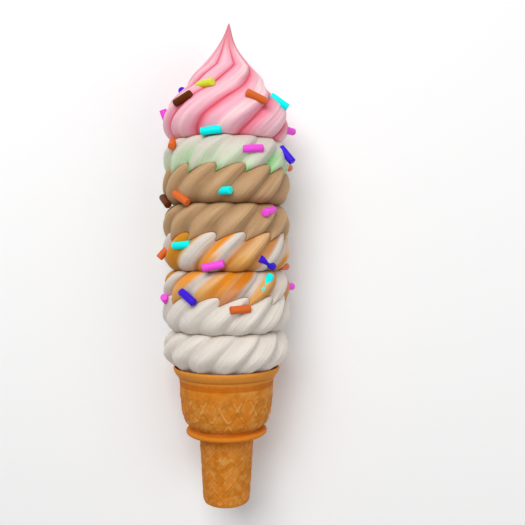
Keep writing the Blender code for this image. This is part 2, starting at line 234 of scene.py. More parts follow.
class Field:
    """A number that varies over a surface, written as sums and products in a node tree."""

    def __init__(self, tree, socket):
        self.tree = tree
        self.socket = socket

    __add__ = __radd__ = math_method("ADD")
    __sub__ = math_method("SUBTRACT")
    __rsub__ = math_method("SUBTRACT", swapped=True)
    __mul__ = __rmul__ = math_method("MULTIPLY")
    __truediv__ = math_method("DIVIDE")
    __pow__ = math_method("POWER")
    above = math_method("GREATER_THAN")
    at_least = math_method("MAXIMUM")
    at_most = math_method("MINIMUM")
    fraction = math_method("FRACT")
    size = math_method("ABSOLUTE")

    def __neg__(self):
        return self * -1.0

    def within(self):
        """Held between 0 and 1."""
        return self.at_least(0.0).at_most(1.0)


class Nodes:
    """Short ways to add nodes to a tree."""

    def add(self, kind, inputs=None, **settings):
        """A new node with its settings made and each given input joined or set."""
        node = self.group.nodes.new(kind)
        for key, value in settings.items():
            setattr(node, key, value)
        for key, value in (inputs or {}).items():
            self.link(value, node.inputs[key])
        return node

    def link(self, source, target):
        if isinstance(source, Field):
            source = source.socket
        if isinstance(source, bpy.types.NodeSocket):
            self.group.links.new(source, target)
        else:
            target.default_value = source

    def number(self, operation, *values):
        node = self.add("ShaderNodeMath", dict(enumerate(values)), operation=operation)
        return Field(self, node.outputs[0])

    def sin(self, value):
        return self.number("SINE", value)

    def cos(self, value):
        return self.number("COSINE", value)

    def smooth(self, value, low, high):
        """0 below low and 1 above high, with a soft climb between."""
        inputs = {"Value": value, "From Min": low, "From Max": high}
        node = self.add("ShaderNodeMapRange", inputs, interpolation_type="SMOOTHSTEP")
        return Field(self, node.outputs[0])

    def zone(self, value, start, full, fading, end):
        """1 from full to fading and 0 before start and after end."""
        return self.smooth(value, start, full) * (1.0 - self.smooth(value, fading, end))

    def mix(self, share, first, second):
        return first + (second - first) * share

    def vector(self, x, y, z):
        return self.add("ShaderNodeCombineXYZ", {0: x, 1: y, 2: z}).outputs[0]

    def ring(self, angle, size, along):
        """A point on a ring, so that what is read there closes on itself."""
        return self.vector(self.cos(angle) * size, self.sin(angle) * size, along)

    def parts(self, vector):
        node = self.add("ShaderNodeSeparateXYZ", {0: vector})
        return [Field(self, socket) for socket in node.outputs]

    def noise(self, vector, scale, detail=2.0):
        """Seedless noise about zero, within one either way."""
        inputs = {"Vector": vector, "Scale": scale, "Detail": detail}
        node = self.add("ShaderNodeTexNoise", inputs)
        return (Field(self, node.outputs["Fac"]) - 0.5) * 2.0


class Tree(Nodes):
    """A Geometry Nodes tree with named inputs, the last of them its finish."""

    def __init__(self, name, sizes):
        self.group = bpy.data.node_groups.new(name, "GeometryNodeTree")
        face = self.group.interface
        face.new_socket("Geometry", in_out="INPUT", socket_type="NodeSocketGeometry")
        face.new_socket("Geometry", in_out="OUTPUT", socket_type="NodeSocketGeometry")
        self.identifiers = {}
        for label, default in sizes.items():
            kind = "NodeSocketInt" if isinstance(default, int) else "NodeSocketFloat"
            made = face.new_socket(label, in_out="INPUT", socket_type=kind)
            made.default_value = default
            self.identifiers[label] = made.identifier
        made = face.new_socket("Finish", in_out="INPUT", socket_type="NodeSocketMaterial")
        self.identifiers["Finish"] = made.identifier
        self.start = self.add("NodeGroupInput")
        self.end = self.add("NodeGroupOutput")

    def given(self, label):
        return Field(self, self.start.outputs[label])

    def store(self, geometry, label, value, kind="FLOAT"):
        inputs = {"Geometry": geometry, "Name": label, "Value": value}
        node = self.add("GeometryNodeStoreNamedAttribute", inputs, data_type=kind, domain="POINT")
        return node.outputs["Geometry"]

    def finish(self, geometry):
        """Ends the tree in Realize Instances and Set Material."""
        realised = self.add("GeometryNodeRealizeInstances", {0: geometry})
        inputs = {"Geometry": realised.outputs[0], "Material": self.start.outputs["Finish"]}
        finish = self.add("GeometryNodeSetMaterial", inputs)
        self.link(finish.outputs[0], self.end.inputs[0])
        return self


def ball_start(tree):
    """A ball's closed mesh, with each point's turn round it and its share of the way up."""
    inputs = {"Segments": tree.given("Columns"), "Rings": tree.given("Rows")}
    ball = tree.add("GeometryNodeMeshUVSphere", inputs)
    position = tree.add("GeometryNodeInputPosition").outputs[0]
    x, y, z = tree.parts(position)
    turn = tree.number("ARCTAN2", y, x) / math.tau
    share = 1.0 - tree.number("ARCCOSINE", z.at_least(-1.0).at_most(1.0)) / math.pi
    return ball.outputs["Mesh"], turn, share


def groove_shape(tree, phase, sharp):
    """0 on a lobe's crest and 1 in the groove."""
    place = phase.fraction()
    rising = place / (2.0 * LOBE_CREST)
    falling = 0.5 + (place - LOBE_CREST) / (2.0 * (1.0 - LOBE_CREST))
    along = tree.mix(place.above(LOBE_CREST), rising, falling)
    return 1.0 - tree.sin(along * math.pi).at_least(0.0) ** sharp


def finger_shape(tree, phase):
    """How far a finger reaches: 0 in the groove, a climb to its round tip and then a steep drop."""
    place = phase.fraction()
    climb = 1.0 - (1.0 - place / FINGER_TIP).at_least(0.0) ** FINGER_ROUNDNESS
    past_tip = (place - FINGER_TIP).at_least(0.0) / (1.0 - FINGER_TIP)
    return climb * tree.cos(past_tip * (math.pi / 2)).at_least(0.0) ** FINGER_DROP


def place_on_axis(tree, radius, angle, height, lean):
    """The point at a radius and an angle round the lying axis, pressed flat where it rests."""
    x = tree.sin(angle) * radius + lean + AXIS_X / MM
    z = (tree.cos(angle) * radius + AXIS_Z / MM).at_least(RESTING_LEVEL)
    y = height + FOOT_Y / MM
    return tree.vector(x * MM, y * MM, z * MM)


def surface_marks(tree, mesh, groove, across, flow):
    """The mesh with what its finish reads: the grooves, the way up and the way round."""
    mesh = tree.store(mesh, "groove", groove)
    mesh = tree.store(mesh, "across", across)
    return tree.store(mesh, "flow", flow, "FLOAT_VECTOR")


def set_on_axis(tree, mesh, radius, angle, height, lean=0.0):
    """Moves the mesh's points on to their places and ends the tree."""
    inputs = {"Geometry": mesh, "Position": place_on_axis(tree, radius, angle, height, lean)}
    return tree.finish(tree.add("GeometryNodeSetPosition", inputs).outputs[0])


def roll_tree():
    """The tree that makes one ridged roll of soft serve from its named sizes."""
    tree = Tree(
        "Soft-serve roll",
        {
            "Columns": 624,
            "Rows": 112,
            "Lower seam": 100.0,
            "Upper seam": 118.0,
            "Widest height": 109.0,
            "Lower edge radius": 29.7,
            "Upper edge radius": 29.7,
            "Roll radius": 36.3,
            "Groove depth": 2.7,
            "Groove softness": 1.3,
            "Groove shift": 0.0,
            "Edge groove": 0.5,
            "Lapped below": 0.0,
            "Lapped above": 0.0,
            "In the cup": 0.0,
            "Finger rise": 4.7,
            "Seam gap": 0.05,
            "Lobe twist": 18.2,
            "Lobe bend": 2.4,
            "Fullness": 1.35,
            "Seat fullness": 0.95,
            "Drag lines": 0.22,
            "Unevenness": 0.45,
            "Roll number": 0.0,
        },
    )
    mesh, turn, share = ball_start(tree)
    given = tree.given
    column = turn * LOBES

    # Of the way up, the first and last parts are the caps and the middle is the wall.
    wall = ((share - ROLL_CAP) / (1.0 - 2.0 * ROLL_CAP)).within()
    low_cap = (share / ROLL_CAP).at_most(1.0)
    high_cap = ((1.0 - share) / ROLL_CAP).at_most(1.0)
    across = tree.sin((wall * 2.0 - 1.0) * (math.pi / 2))
    upper_half = across.above(0.0)

    finger = finger_shape(tree, column) * given("Finger rise")
    low_edge = given("Lower seam") + finger * given("Lapped below")
    low_edge = low_edge + (1.0 - given("In the cup")) * given("Seam gap")
    high_edge = given("Upper seam") + finger * given("Lapped above") - given("Seam gap")
    edge_height = tree.mix(upper_half, low_edge, high_edge)
    height = given("Widest height") + (edge_height - given("Widest height")) * across.size()
    edge_radius = tree.mix(upper_half, given("Lower edge radius"), given("Upper edge radius"))
    bulge = (1.0 - across * across).at_least(0.0) ** (given("Fullness") * 0.5)
    seat_turn = (1.0 + across).within() * (math.pi / 2)
    seated = tree.sin(seat_turn).at_least(0.0) ** given("Seat fullness")
    cup_side = given("In the cup") * (1.0 - upper_half)
    bulge = tree.mix(cup_side, bulge, seated)

    bend = given("Lobe bend") * (1.0 - across * across) * math.radians(1.0)

    def turned(height):
        """The angle of a column at a height."""
        twist = (height - LOBE_LEVEL) / given("Lobe twist")
        return LOBE_START + (column + twist) * LOBE_STEP - bend

    # Slow swells make no two lobes alike, and fine lines follow the nozzle's teeth.
    own = column + given("Groove shift")
    own_turn = own * LOBE_STEP
    number = given("Roll number")
    around = tree.ring(own_turn, 2.0, number * 3.7)
    wander = tree.noise(around, 1.6) * 0.16
    swell_at = tree.ring(turned(height), 2.0, number * 5.1 + across * 0.5)
    swell = tree.noise(swell_at, 1.3) * given("Unevenness")
    lines_at = tree.ring(own_turn, 22.0, number * 7.3 + across * 0.7)
    lines = tree.noise(lines_at, 1.0, 3.0) * given("Drag lines")
    fade = (1.0 - (across**10.0).at_most(1.0)).at_least(0.0)
    phase = own + wander * fade
    groove = groove_shape(tree, phase, given("Groove softness"))
    furrow = groove_shape(tree, phase * 2.0 + 0.17, SECOND_FURROW) * 0.12
    depth = groove * (1.0 + tree.noise(around, 2.3) * 0.2 * fade) + furrow * fade * (1.0 - groove)
    radius = given("Roll radius") + swell * fade
    radius = edge_radius + (radius - edge_radius) * bulge
    lapped = tree.mix(upper_half, given("Lapped below"), given("Lapped above"))
    kept = 1.0 - (1.0 - given("Edge groove")) * lapped * across.size() ** 4.0
    radius = radius - given("Groove depth") * depth * kept + lines * fade

    # The caps: level from the edge in to the lip, then down to the seam's own height.
    for cap_share, edge, side, seam in (
        (low_cap, low_edge, "Lapped below", given("Lower seam") + given("Seam gap")),
        (high_cap, high_edge, "Lapped above", given("Upper seam") - given("Seam gap")),
    ):
        to_lip = ((1.0 - cap_share) * 2.0).at_most(1.0)
        to_core = ((0.5 - cap_share) * 4.0).within()
        to_axis = ((0.25 - cap_share) * 4.0).at_least(0.0)
        is_cap = 1.0 - cap_share.above(NEARLY_ALL)
        lip = tree.mix(to_lip, radius, radius.at_most(LIP_RADIUS))
        inner = tree.mix(to_core, lip, lip.at_most(CORE_RADIUS))
        inner = inner * (1.0 - to_axis)
        cap_height = tree.mix(to_core * given(side), edge, seam)
        radius = tree.mix(is_cap, radius, inner)
        height = tree.mix(is_cap, height, cap_height)

    # The lowest roll goes on down into the cup: to its shoulder, in to its floor and to the axis.
    plug = given("In the cup") * (1.0 - low_cap.above(NEARLY_ALL))
    plug_depth = (1.0 - low_cap) * 3.0
    to_floor = (plug_depth - 1.0).within()
    plug_height = SEAT_HEIGHT - plug_depth.at_most(1.0) * (SEAT_HEIGHT - PLUG_SHOULDER)
    plug_height = plug_height - to_floor * (PLUG_SHOULDER - CUP_FLOOR)
    plug_radius = CORE_RADIUS - to_floor * (CORE_RADIUS - PLUG_FLOOR_RADIUS)
    plug_radius = plug_radius * (1.0 - (plug_depth - 2.0).within())
    height = tree.mix(plug, height, plug_height)
    radius = tree.mix(plug, radius, plug_radius)

    shaded = surface_marks(tree, mesh, groove, across, tree.ring(own_turn, 1.0, across * 0.5))
    shaded = tree.store(shaded, "lobe", column)
    return set_on_axis(tree, shaded, radius, turned(height), height)


def peak_tree():
    """The tree that makes the last turn of soft serve, drawn up to a thin tip."""
    tree = Tree(
        "Soft-serve peak",
        {
            "Columns": 540,
            "Rows": 170,
            "Seam": PEAK_SEAM,
            "Widest height": PEAK_WIDEST,
            "Tip height": PEAK_TIP,
            "Edge radius": 29.7,
            "Roll radius": 36.3,
            "Groove depth": 3.7,
            "Groove start": -21.0,
            "Spread": 12.0,
            "Spread at": 48.0,
            "Twist": 92.0,
            "Twist end": 0.6,
            "Twist ease": 1.35,
            "Lean": 1.2,
            "Straight share": 0.12,
            "Tuck": 0.065,
            "Tuck at": 0.43,
            "Tuck width": 0.07,
            "Spike": 0.04,
            "Slope": 2.15,
            "Fullness": 1.35,
            "Drag lines": 0.22,
            "Unevenness": 0.45,
        },
    )
    mesh, turn, share = ball_start(tree)
    given = tree.given
    up = ((share - PEAK_CAP) / (1.0 - PEAK_CAP)).at_least(0.0)
    cap_share = (share / PEAK_CAP).at_most(1.0)
    full = given("Tip height") - given("Seam")
    widest = (given("Widest height") - given("Seam")) / full
    low = (1.0 - up / widest).at_least(0.0)
    bulge = (1.0 - low * low).at_least(0.0) ** (given("Fullness") * 0.5)
    below = given("Edge radius") + (given("Roll radius") - given("Edge radius")) * bulge
    climb = ((up - widest) / (1.0 - widest)).at_least(0.0)
    cone = given("Straight share") * (1.0 - climb)
    slope = tree.cos(climb * (math.pi / 2))
    swell = (1.0 - given("Straight share")) * slope.at_least(0.0) ** given("Slope")
    tucked = (up - given("Tuck at")) / given("Tuck width")
    tuck = given("Tuck") * tree.number("EXPONENT", -(tucked * tucked))
    spike = given("Spike") * climb * climb * (1.0 - climb**16.0)
    above = given("Roll radius") * (cone + swell - tuck + spike)
    radius = tree.mix(up.above(widest), below, above)

    eased = (up / given("Twist end")).at_most(1.0) ** given("Twist ease")
    degrees = turn * 360.0
    spread = tree.sin((degrees - given("Spread at")) * math.radians(1.0)) * given("Spread")
    angle = (given("Groove start") + degrees + spread + given("Twist") * eased) * math.radians(1.0)

    whole_turn = turn * math.tau
    around = tree.ring(whole_turn, 2.0, up * 2.0)
    wander = tree.noise(around, 1.5) * 0.12
    slender = (radius / given("Roll radius")).at_least(0.0)
    lines = tree.noise(tree.ring(whole_turn, 18.0, up * 2.5), 1.0, 3.0) * given("Drag lines") * slender
    phase = turn * PEAK_LOBES + wander
    groove = groove_shape(tree, phase, 0.8)
    furrow = groove_shape(tree, phase * 2.0 + 0.2, SECOND_FURROW) * 0.2 * (1.0 - groove)
    depth = groove * (1.0 + tree.noise(around, 2.1) * 0.22) + furrow
    lumps = tree.noise(around, 1.2) * given("Unevenness") * slender
    cut = given("Groove depth") * depth * slender**0.8
    radius = (radius + lines + lumps - cut).at_least(LEAST_RADIUS)
    is_cap = 1.0 - cap_share.above(NEARLY_ALL)
    radius = tree.mix(is_cap, radius, radius * cap_share)
    height = given("Seam") + GAP / 2 + up * (full - GAP / 2)
    lean = given("Lean") * tree.smooth(up, 0.75, 1.0)
    shaded = surface_marks(tree, mesh, groove, up, tree.ring(whole_turn, 1.0, up))
    return set_on_axis(tree, shaded, radius, angle, height, lean)


def plain_mesh(name, tree, values, base=None):
    """Runs a tree on an object and keeps its result as a plain mesh."""
    mesh = base or bpy.data.meshes.new(name)
    piece = bpy.data.objects.new(name, mesh)
    bpy.context.scene.collection.objects.link(piece)
    modifier = piece.modifiers.new("shape", "NODES")
    modifier.node_group = tree.group
    for label, value in values.items():
        modifier[tree.identifiers[label]] = value
    bpy.context.view_layer.update()
    graph = bpy.context.evaluated_depsgraph_get()
    made = bpy.data.meshes.new_from_object(piece.evaluated_get(graph), depsgraph=graph)
    made.name = name
    piece.modifiers.clear()
    piece.data = made
    return piece


def face_outwards(piece, sharp_degrees=60.0):
    """Turns every face outwards and shades the piece smooth."""
    shape = bmesh.new()
    shape.from_mesh(piece.data)
    bmesh.ops.recalc_face_normals(shape, faces=shape.faces)
    for face in shape.faces:
        face.smooth = True
    shape.to_mesh(piece.data)
    shape.free()
    piece.data.set_sharp_from_angle(angle=math.radians(sharp_degrees))


class Finish(Nodes):
    """A procedural finish: node sums that feed one Principled shader."""

    def __init__(self, name, roughness, **constants):
        self.material = bpy.data.materials.new(name)
        self.material.use_nodes = True
        self.group = self.material.node_tree
        self.shader = self.group.nodes["Principled BSDF"]
        self.shader.inputs["Roughness"].default_value = roughness
        for label, value in constants.items():
            self.shader.inputs[label.replace("_", " ")].default_value = value

    def attribute(self, name):
        return self.add("ShaderNodeAttribute", attribute_name=name, attribute_type="GEOMETRY")

    def value(self, name):
        return Field(self, self.attribute(name).outputs["Fac"])

    def here(self):
        return self.add("ShaderNodeTexCoord").outputs["Object"]

    def streaks(self, across, along, detail=3.0):
        """Noise that is fine across the lobes and drawn out along them."""
        inputs = {0: self.attribute("flow").outputs["Vector"], 1: (across, across, along)}
        node = self.add("ShaderNodeVectorMath", inputs, operation="MULTIPLY")
        return self.noise(node.outputs[0], 1.0, detail)

    def blend(self, share, first, second):
        """The first colour where share is 0 and the second where it is 1."""
        node = self.add("ShaderNodeMix", {"Factor": share}, data_type="RGBA")
        sockets = [socket for socket in node.inputs if socket.type == "RGBA"]
        for colour, socket in zip((first, second), sockets):
            if isinstance(colour, bpy.types.NodeSocket):
                self.group.links.new(colour, socket)
            else:
                socket.default_value = (*colour, 1.0)
        return [socket for socket in node.outputs if socket.type == "RGBA"][0]

    def bump(self, height, distance):
        inputs = {"Strength": 1.0, "Distance": distance, "Height": height}
        node = self.add("ShaderNodeBump", inputs)
        self.link(node.outputs["Normal"], self.shader.inputs["Normal"])

    def colour(self, socket):
        self.link(socket, self.shader.inputs["Base Color"])
        return self.material


def rgb(red, green, blue):
    """A screen colour, given as 0 to 255, as the shader's linear numbers."""
    found = []
    for part in (red, green, blue):
        part /= 255
        found.append(part / 12.92 if part <= 0.04045 else ((part + 0.055) / 1.055) ** 2.4)
    return tuple(found)


def soft_serve_finish(name):
    """The start of every flavour: a damp sheen over fine ice grain."""
    finish = Finish(name, 0.5, Specular_IOR_Level=0.2, Subsurface_Weight=0.1, Subsurface_Scale=0.003)
    finish.shader.inputs["Subsurface Radius"].default_value = (1.0, 0.7, 0.5)
    grain = finish.noise(finish.here(), 1700.0, 3.0)
    pits = finish.smooth(finish.noise(finish.here(), 620.0, 2.0), 0.35, 0.75)
    finish.bump(grain * 0.25 + finish.streaks(34.0, 1.2) * 0.9 - pits * 0.8, 0.00022)
    return finish


def painted_crease_shade(finish, flavour, body, shade, strength):
    """The body's colour with painted shade blended in by the crease between a flavour's two rolls."""
    _, along, _ = finish.parts(finish.here())
    rise = (along - FOOT_Y) / MM - CREASE_SHADE_SEAMS[flavour]
    over = rise.above(0.0)
    above = over * (1.0 - finish.smooth(rise, 0.0, CREASE_SHADE_ABOVE))
    below = (1.0 - over) * (1.0 - finish.smooth(-rise, 0.0, CREASE_SHADE_BELOW))
    return finish.blend((above + below) * strength, body, shade)


def vanilla_finish(colours, node, painted_foot_light):
    """Vanilla with painted shade in its grooves and crease, and painted light that makes it paler
    towards the roll's foot by a share.
    """
    finish = soft_serve_finish(node + "_vanilla")
    pale = finish.blend(finish.streaks(9.0, 1.4) * 0.5 + 0.5, colours.vanilla, colours.vanilla_light)
    # Painted light: paler towards the roll's foot, where shade falls
    foot = (1.0 - finish.smooth(finish.value("across"), -0.95, 0.1)) * painted_foot_light
    pale = finish.blend(foot, pale, colours.vanilla_light)
    # Painted shade in the grooves, less of it at the foot
    shade = finish.value("groove") * (1.0 - foot) * 0.24
    pale = finish.blend(shade, pale, colours.vanilla_shade)
    return finish.colour(painted_crease_shade(finish, "vanilla", pale, colours.vanilla_shade, 0.25))


def chocolate_finish(colours):
    """Pale chocolate, with painted shade brown in its grooves and darkest in the crease."""
    finish = soft_serve_finish("chocolate_soft_serve")
    streaks = finish.streaks(8.0, 1.2)
    tan = finish.blend(streaks * 0.6 + 0.5, colours.chocolate, colours.chocolate_light)
    # Painted shade in the grooves
    tan = finish.blend(finish.value("groove") * 0.45, tan, colours.chocolate_shade)
    return finish.colour(painted_crease_shade(finish, "chocolate", tan, colours.chocolate_shade, 0.55))


def painted_strokes(finish, colours, body, strokes, softness):
    """The body's colour with each stroke laid over it, the same again half way round."""
    uneven = finish.streaks(5.0, 3.0, 2.0) * 0.5
    height = finish.smooth(finish.value("across") + uneven, -0.55, 0.45)
    drift = finish.streaks(2.2, 1.6, 2.0) * 0.09 + finish.streaks(15.0, 1.2, 2.0) * 0.05
    place = (finish.value("lobe") + drift) * (2.0 / LOBES)
    for middle, half, colour, low, high in strokes:
        apart = (place - (middle * 2.0 / LOBES - 0.5)).fraction() - 0.5
        apart = apart.size() * (LOBES / 2.0)
        near = 1.0 - finish.smooth(apart, half - softness, half + softness)
        strength = finish.mix(height, low, high) if low != high else low
        body = finish.blend(near * strength, body, getattr(colours, colour))
    return body


def caramel_finish(colours, node):
    """White soft serve with the caramel ripple of one roll."""
    finish = soft_serve_finish(node + "_ripple")
    pale = finish.blend(finish.streaks(9.0, 1.4) * 0.5 + 0.5, colours.caramel_white, colours.vanilla)
    body = painted_strokes(finish, colours, pale, CARAMEL_STROKES[node], 0.11)
    # Painted shade in the grooves, and more painted shade by the crease
    body = finish.blend(finish.value("groove") * 0.22, body, colours.caramel_shade)
    return finish.colour(painted_crease_shade(finish, "caramel", body, colours.caramel_shade, 0.3))


def mint_finish(colours):
    """White soft serve stirred with pale green, greenest low in its valleys."""
    finish = soft_serve_finish("mint_soft_serve")
    white = finish.blend(finish.streaks(9.0, 1.4, 2.0) * 0.5 + 0.5, colours.mint_white, colours.vanilla)
    body = painted_strokes(finish, colours, white, MINT_STROKES, 0.22)
    low = 1.0 - finish.smooth(finish.value("across"), -0.95, -0.55)
    valley = finish.smooth(finish.cos(finish.value("lobe") * math.tau), 0.82, 0.98)
    body = finish.blend(low * valley * 0.8, body, colours.mint_green)
    # Painted shade in the grooves
    return finish.colour(finish.blend(finish.value("groove") * 0.25, body, colours.mint_shade))


def strawberry_finish(colours):
    """Pink with pale streaks and a painted highlight on the crests, painted shade in its grooves and a
    deeper pink at the tip.
    """
    finish = soft_serve_finish("strawberry_soft_serve")
    groove = finish.value("groove")
    # Pale streaks kept off the grooves, so the crests carry a painted highlight
    streak_and_painted_highlight = finish.smooth(finish.streaks(7.0, 1.6) - groove * 0.7, -0.2, 0.5)
    pink = finish.blend(streak_and_painted_highlight * 0.85, colours.strawberry, colours.strawberry_pale)
    near_tip = finish.smooth(finish.value("across"), 0.66, 0.9)
    pink = finish.blend(near_tip * 0.8, pink, colours.strawberry_tip)
    # Painted shade in the grooves, pink and then deep red at their bottoms, less of it near the tip
    painted_rosy_shade = finish.smooth(groove, 0.2, 0.75) * (1.0 - near_tip * 0.4)
    pink = finish.blend(painted_rosy_shade * 0.75, pink, colours.strawberry_groove)
    red = finish.smooth(groove, 0.65, 1.0) * (1.0 - near_tip * 0.8)
    return finish.colour(finish.blend(red * 0.7, pink, colours.strawberry_deep))


def wafer_finish(colours):
    """Baked wafer: mottled crumb, paler ribs between dark lines, painted shade inside the cup, a plain
    collar and rim.
    """
    finish = Finish("baked_wafer", 0.7, Specular_IOR_Level=0.15)
    here = finish.here()
    patches = finish.noise(here, 60.0, 2.0)
    mottle = finish.noise(here, 200.0, 2.0)
    flecks = finish.noise(here, 380.0, 1.0)
    crumb = finish.noise(here, 900.0, 4.0)
    rib = finish.value("rib")
    height = finish.value("height")
    body = finish.blend(finish.smooth(mottle, -0.25, 0.3), colours.wafer_brown, colours.wafer)
    calm = 1.0 - finish.smooth(height, 54.0, 62.0) * 0.6
    kept = finish.smooth(mottle + patches * 0.6, -0.3, 0.4)
    for share, colour in (
        (finish.smooth(patches + mottle * 0.8, -0.05, 0.4) * 0.7, colours.wafer_orange),
        (finish.smooth(flecks, 0.0, 0.4) * calm * 0.32, colours.wafer_light),
        (finish.smooth(-flecks, 0.05, 0.4) * calm * 0.45, colours.wafer_orange),
        (finish.zone(rib, 0.03, 0.2, 0.2, 0.6) * 0.6, colours.wafer_line),
        (finish.smooth(rib, 0.35, 0.9) * kept * 0.5, colours.wafer_light),
        (finish.zone(height, *BAND) * 0.75, colours.wafer_line),
        (finish.smooth(height, 70.0, 71.0) * 0.8, colours.wafer_rim),
        (finish.zone(height, *RIM_EDGE) * 0.55, colours.wafer_line),
        # Painted shade on the inside of the cup
        (finish.value("inner") * 0.8, colours.wafer_line),
        (finish.zone(height, *COLLAR) * 0.85, colours.wafer_collar),
    ):
        body = finish.blend(share, body, colour)
    finish.bump(crumb * 0.5 + mottle * 0.5, 0.00025)
    return finish.colour(body)


def rod_finish(name, colour):
    """Sugar with a slight gloss and a faint cloudiness."""
    gloss = {"Specular_IOR_Level": 0.14, "Coat_Weight": 0.03, "Coat_Roughness": 0.3}
    finish = Finish(name + "_sugar", 0.45, **gloss)
    cloud = finish.noise(finish.here(), 260.0, 2.0)
    shade = tuple(part * 0.86 for part in colour)
    finish.bump(finish.noise(finish.here(), 1500.0, 2.0), 0.00008)
    return finish.colour(finish.blend(cloud * 0.35 + 0.25, colour, shade))


# How strongly a corner's tangent pulls the line, and the distance between corners for the full pull
CORNER_PULL = 0.25
CORNER_REACH = 4.0


def smooth_outline(corners, spacing):
    """Points along a smooth line through the corners, about as far apart as the spacing."""
    ends = [corners[0], *corners, corners[-1]]
    points = []
    for before, start, end, after in zip(ends, ends[1:], ends[2:], ends[3:]):
        apart = math.dist(start, end)
        steps = max(1, round(apart / spacing))
        pull = CORNER_PULL * min(1.0, apart / CORNER_REACH)
        for step in range(steps):
            t = step / steps
            near_end = 3 * t**2 - 2 * t**3
            leave = (t**3 - 2 * t**2 + t) * pull
            arrive = (t**3 - t**2) * pull
            radius, height = (
                (1 - near_end) * b + near_end * c + leave * (c - a) + arrive * (d - b)
                for a, b, c, d in zip(before, start, end, after)
            )
            points.append((max(0.0, radius), height))
    points.append(tuple(corners[-1]))
    return points


# Radius and height of the wafer's corners, from the foot's middle up the outside and down the inside
WAFER_OUTLINE = (
    # The foot and the stem
    (0.0, 0.0), (10.4, 0.0), (11.6, 0.15), (12.5, 0.7), (13.05, 2.0), (13.7, 14.0), (14.5, 26.0),
    # The collar
    (15.2, 37.6), (15.6, 38.4), (16.6, 38.8), (22.1, 39.4), (22.8, 40.0), (22.9, 40.8), (22.6, 41.6),
    (21.6, 42.1), (18.9, 42.5), (18.7, 43.0), (19.3, 43.5),
    # The cup
    (21.0, 44.2), (23.2, 46.6), (24.7, 50.6), (25.6, 56.0), (26.3, 62.0), (26.6, 68.0),
    # The rim
    (26.8, 70.2), (27.6, 71.8), (28.9, 73.6), (29.8, 75.2), (30.15, 76.4), (29.95, 77.1), (29.5, 77.45),
    # The inside
    (29.1, 77.1), (27.9, 75.0), (25.4, 72.0), (24.4, 70.2), (24.4, 60.0), (24.4, 50.2),
    (21.0, 45.7), (20.0, 45.4), (0.0, 45.4),
)


def turned_blank(columns):
    """The wafer cup's plain turned shape, as a closed mesh about +Z in millimetres."""
    outline = smooth_outline(WAFER_OUTLINE, 0.55)
    shape = bmesh.new()
    rings = []
    for radius, height in outline[1:-1]:
        ring = []
        for column in range(columns):
            turn = math.tau * column / columns
            ring.append(shape.verts.new((radius * math.cos(turn), radius * math.sin(turn), height)))
        rings.append(ring)
    foot = shape.verts.new((0.0, 0.0, outline[0][1]))
    floor = shape.verts.new((0.0, 0.0, outline[-1][1]))
    for column in range(columns):
        following = (column + 1) % columns
        shape.faces.new((foot, rings[0][following], rings[0][column]))
        shape.faces.new((rings[-1][column], rings[-1][following], floor))
        for lower, upper in zip(rings, rings[1:]):
            shape.faces.new((lower[column], lower[following], upper[following], upper[column]))
    mesh = bpy.data.meshes.new("wafer_blank")
    shape.to_mesh(mesh)
    shape.free()
    return mesh


def pressed_wafer_tree():
    """The tree that presses the crossed ribs into the wafer and lays it along +Y."""
    tree = Tree(
        "Pressed wafer",
        {
            "Rib height": 0.36,
            "Stem ribs round": 14.0,
            "Stem rib rise": 13.8,
            "Cup ribs round": 17.0,
            "Cup rib rise": 33.0,
            "Rib width": 0.2,
        },
    )
    given = tree.given
    x, y, z = tree.parts(tree.add("GeometryNodeInputPosition").outputs[0])
    turn = tree.number("ARCTAN2", y, x) / math.tau
    radius = (x * x + y * y) ** 0.5
    outside = radius.above(12.0)

    def ribs(round_count, rise, width):
        """1 on a rib and 0 between, for ribs that climb both ways."""
        climb = z / rise * 2.0
        first = ((turn * round_count + climb).fraction() - 0.5).size() * 2.0
        second = ((turn * round_count - climb).fraction() - 0.5).size() * 2.0
        crossing = (1.0 - first).at_most(1.0 - second)
        return 1.0 - tree.smooth(crossing, width * 0.35, width * 1.6)

    outer = tree.smooth(radius, 18.0, 20.0)
    cup_wall = outer * tree.smooth(radius - (z - 44.0).at_least(0.0) * 0.02, 20.0, 21.0)
    stem = ribs(given("Stem ribs round"), given("Stem rib rise"), given("Rib width"))
    cup = ribs(given("Cup ribs round"), given("Cup rib rise"), given("Rib width"))
    outer_wall = 1.0 - (1.0 - tree.smooth(radius, 24.42, 24.6)) * z.above(INSIDE_FROM)
    rib = stem * tree.zone(z, *STEM_RIBS) * outside
    rib = rib + cup * tree.zone(z, *CUP_RIBS) * cup_wall * outer_wall
    at = tree.vector(x, y, z)
    rib = rib * (tree.smooth(tree.noise(at, 0.16, 2.0), -0.4, 0.3) * 0.6 + 0.4)
    grain = tree.noise(at, 0.35, 3.0) * 0.07
    lines = (tree.zone(z, *BAND_LINE) + tree.zone(z, *RIM_LINE)) * outer * outer_wall * 0.18
    relief = rib * given("Rib height") - lines + grain * outer
    flat_foot = tree.smooth(z, 0.05, 0.6)
    normal = tree.add("GeometryNodeInputNormal").outputs[0]
    normal_x, normal_y, _ = tree.parts(normal)
    facing = (normal_x * x + normal_y * y) / radius.at_least(0.001)
    # Where the wall faces inwards high in the cup, the mask for the painted shade inside it
    inner = (1.0 - tree.smooth(facing, -0.1, 0.4)) * z.above(INSIDE_FROM)
    push = tree.add("ShaderNodeVectorMath", {0: normal, "Scale": relief * flat_foot}, operation="SCALE")
    source = tree.start.outputs["Geometry"]
    for label, value in (("rib", rib), ("height", z), ("inner", inner)):
        source = tree.store(source, label, value)
    raised = tree.add("GeometryNodeSetPosition", {"Geometry": source, "Offset": push.outputs[0]})
    at_x, at_y, at_z = tree.parts(tree.add("GeometryNodeInputPosition").outputs[0])
    place = tree.vector(at_x * MM + AXIS_X, at_z * MM + FOOT_Y, AXIS_Z - at_y * MM)
    laid = tree.add("GeometryNodeSetPosition", {"Geometry": raised.outputs[0], "Position": place})
    return tree.finish(laid.outputs[0])


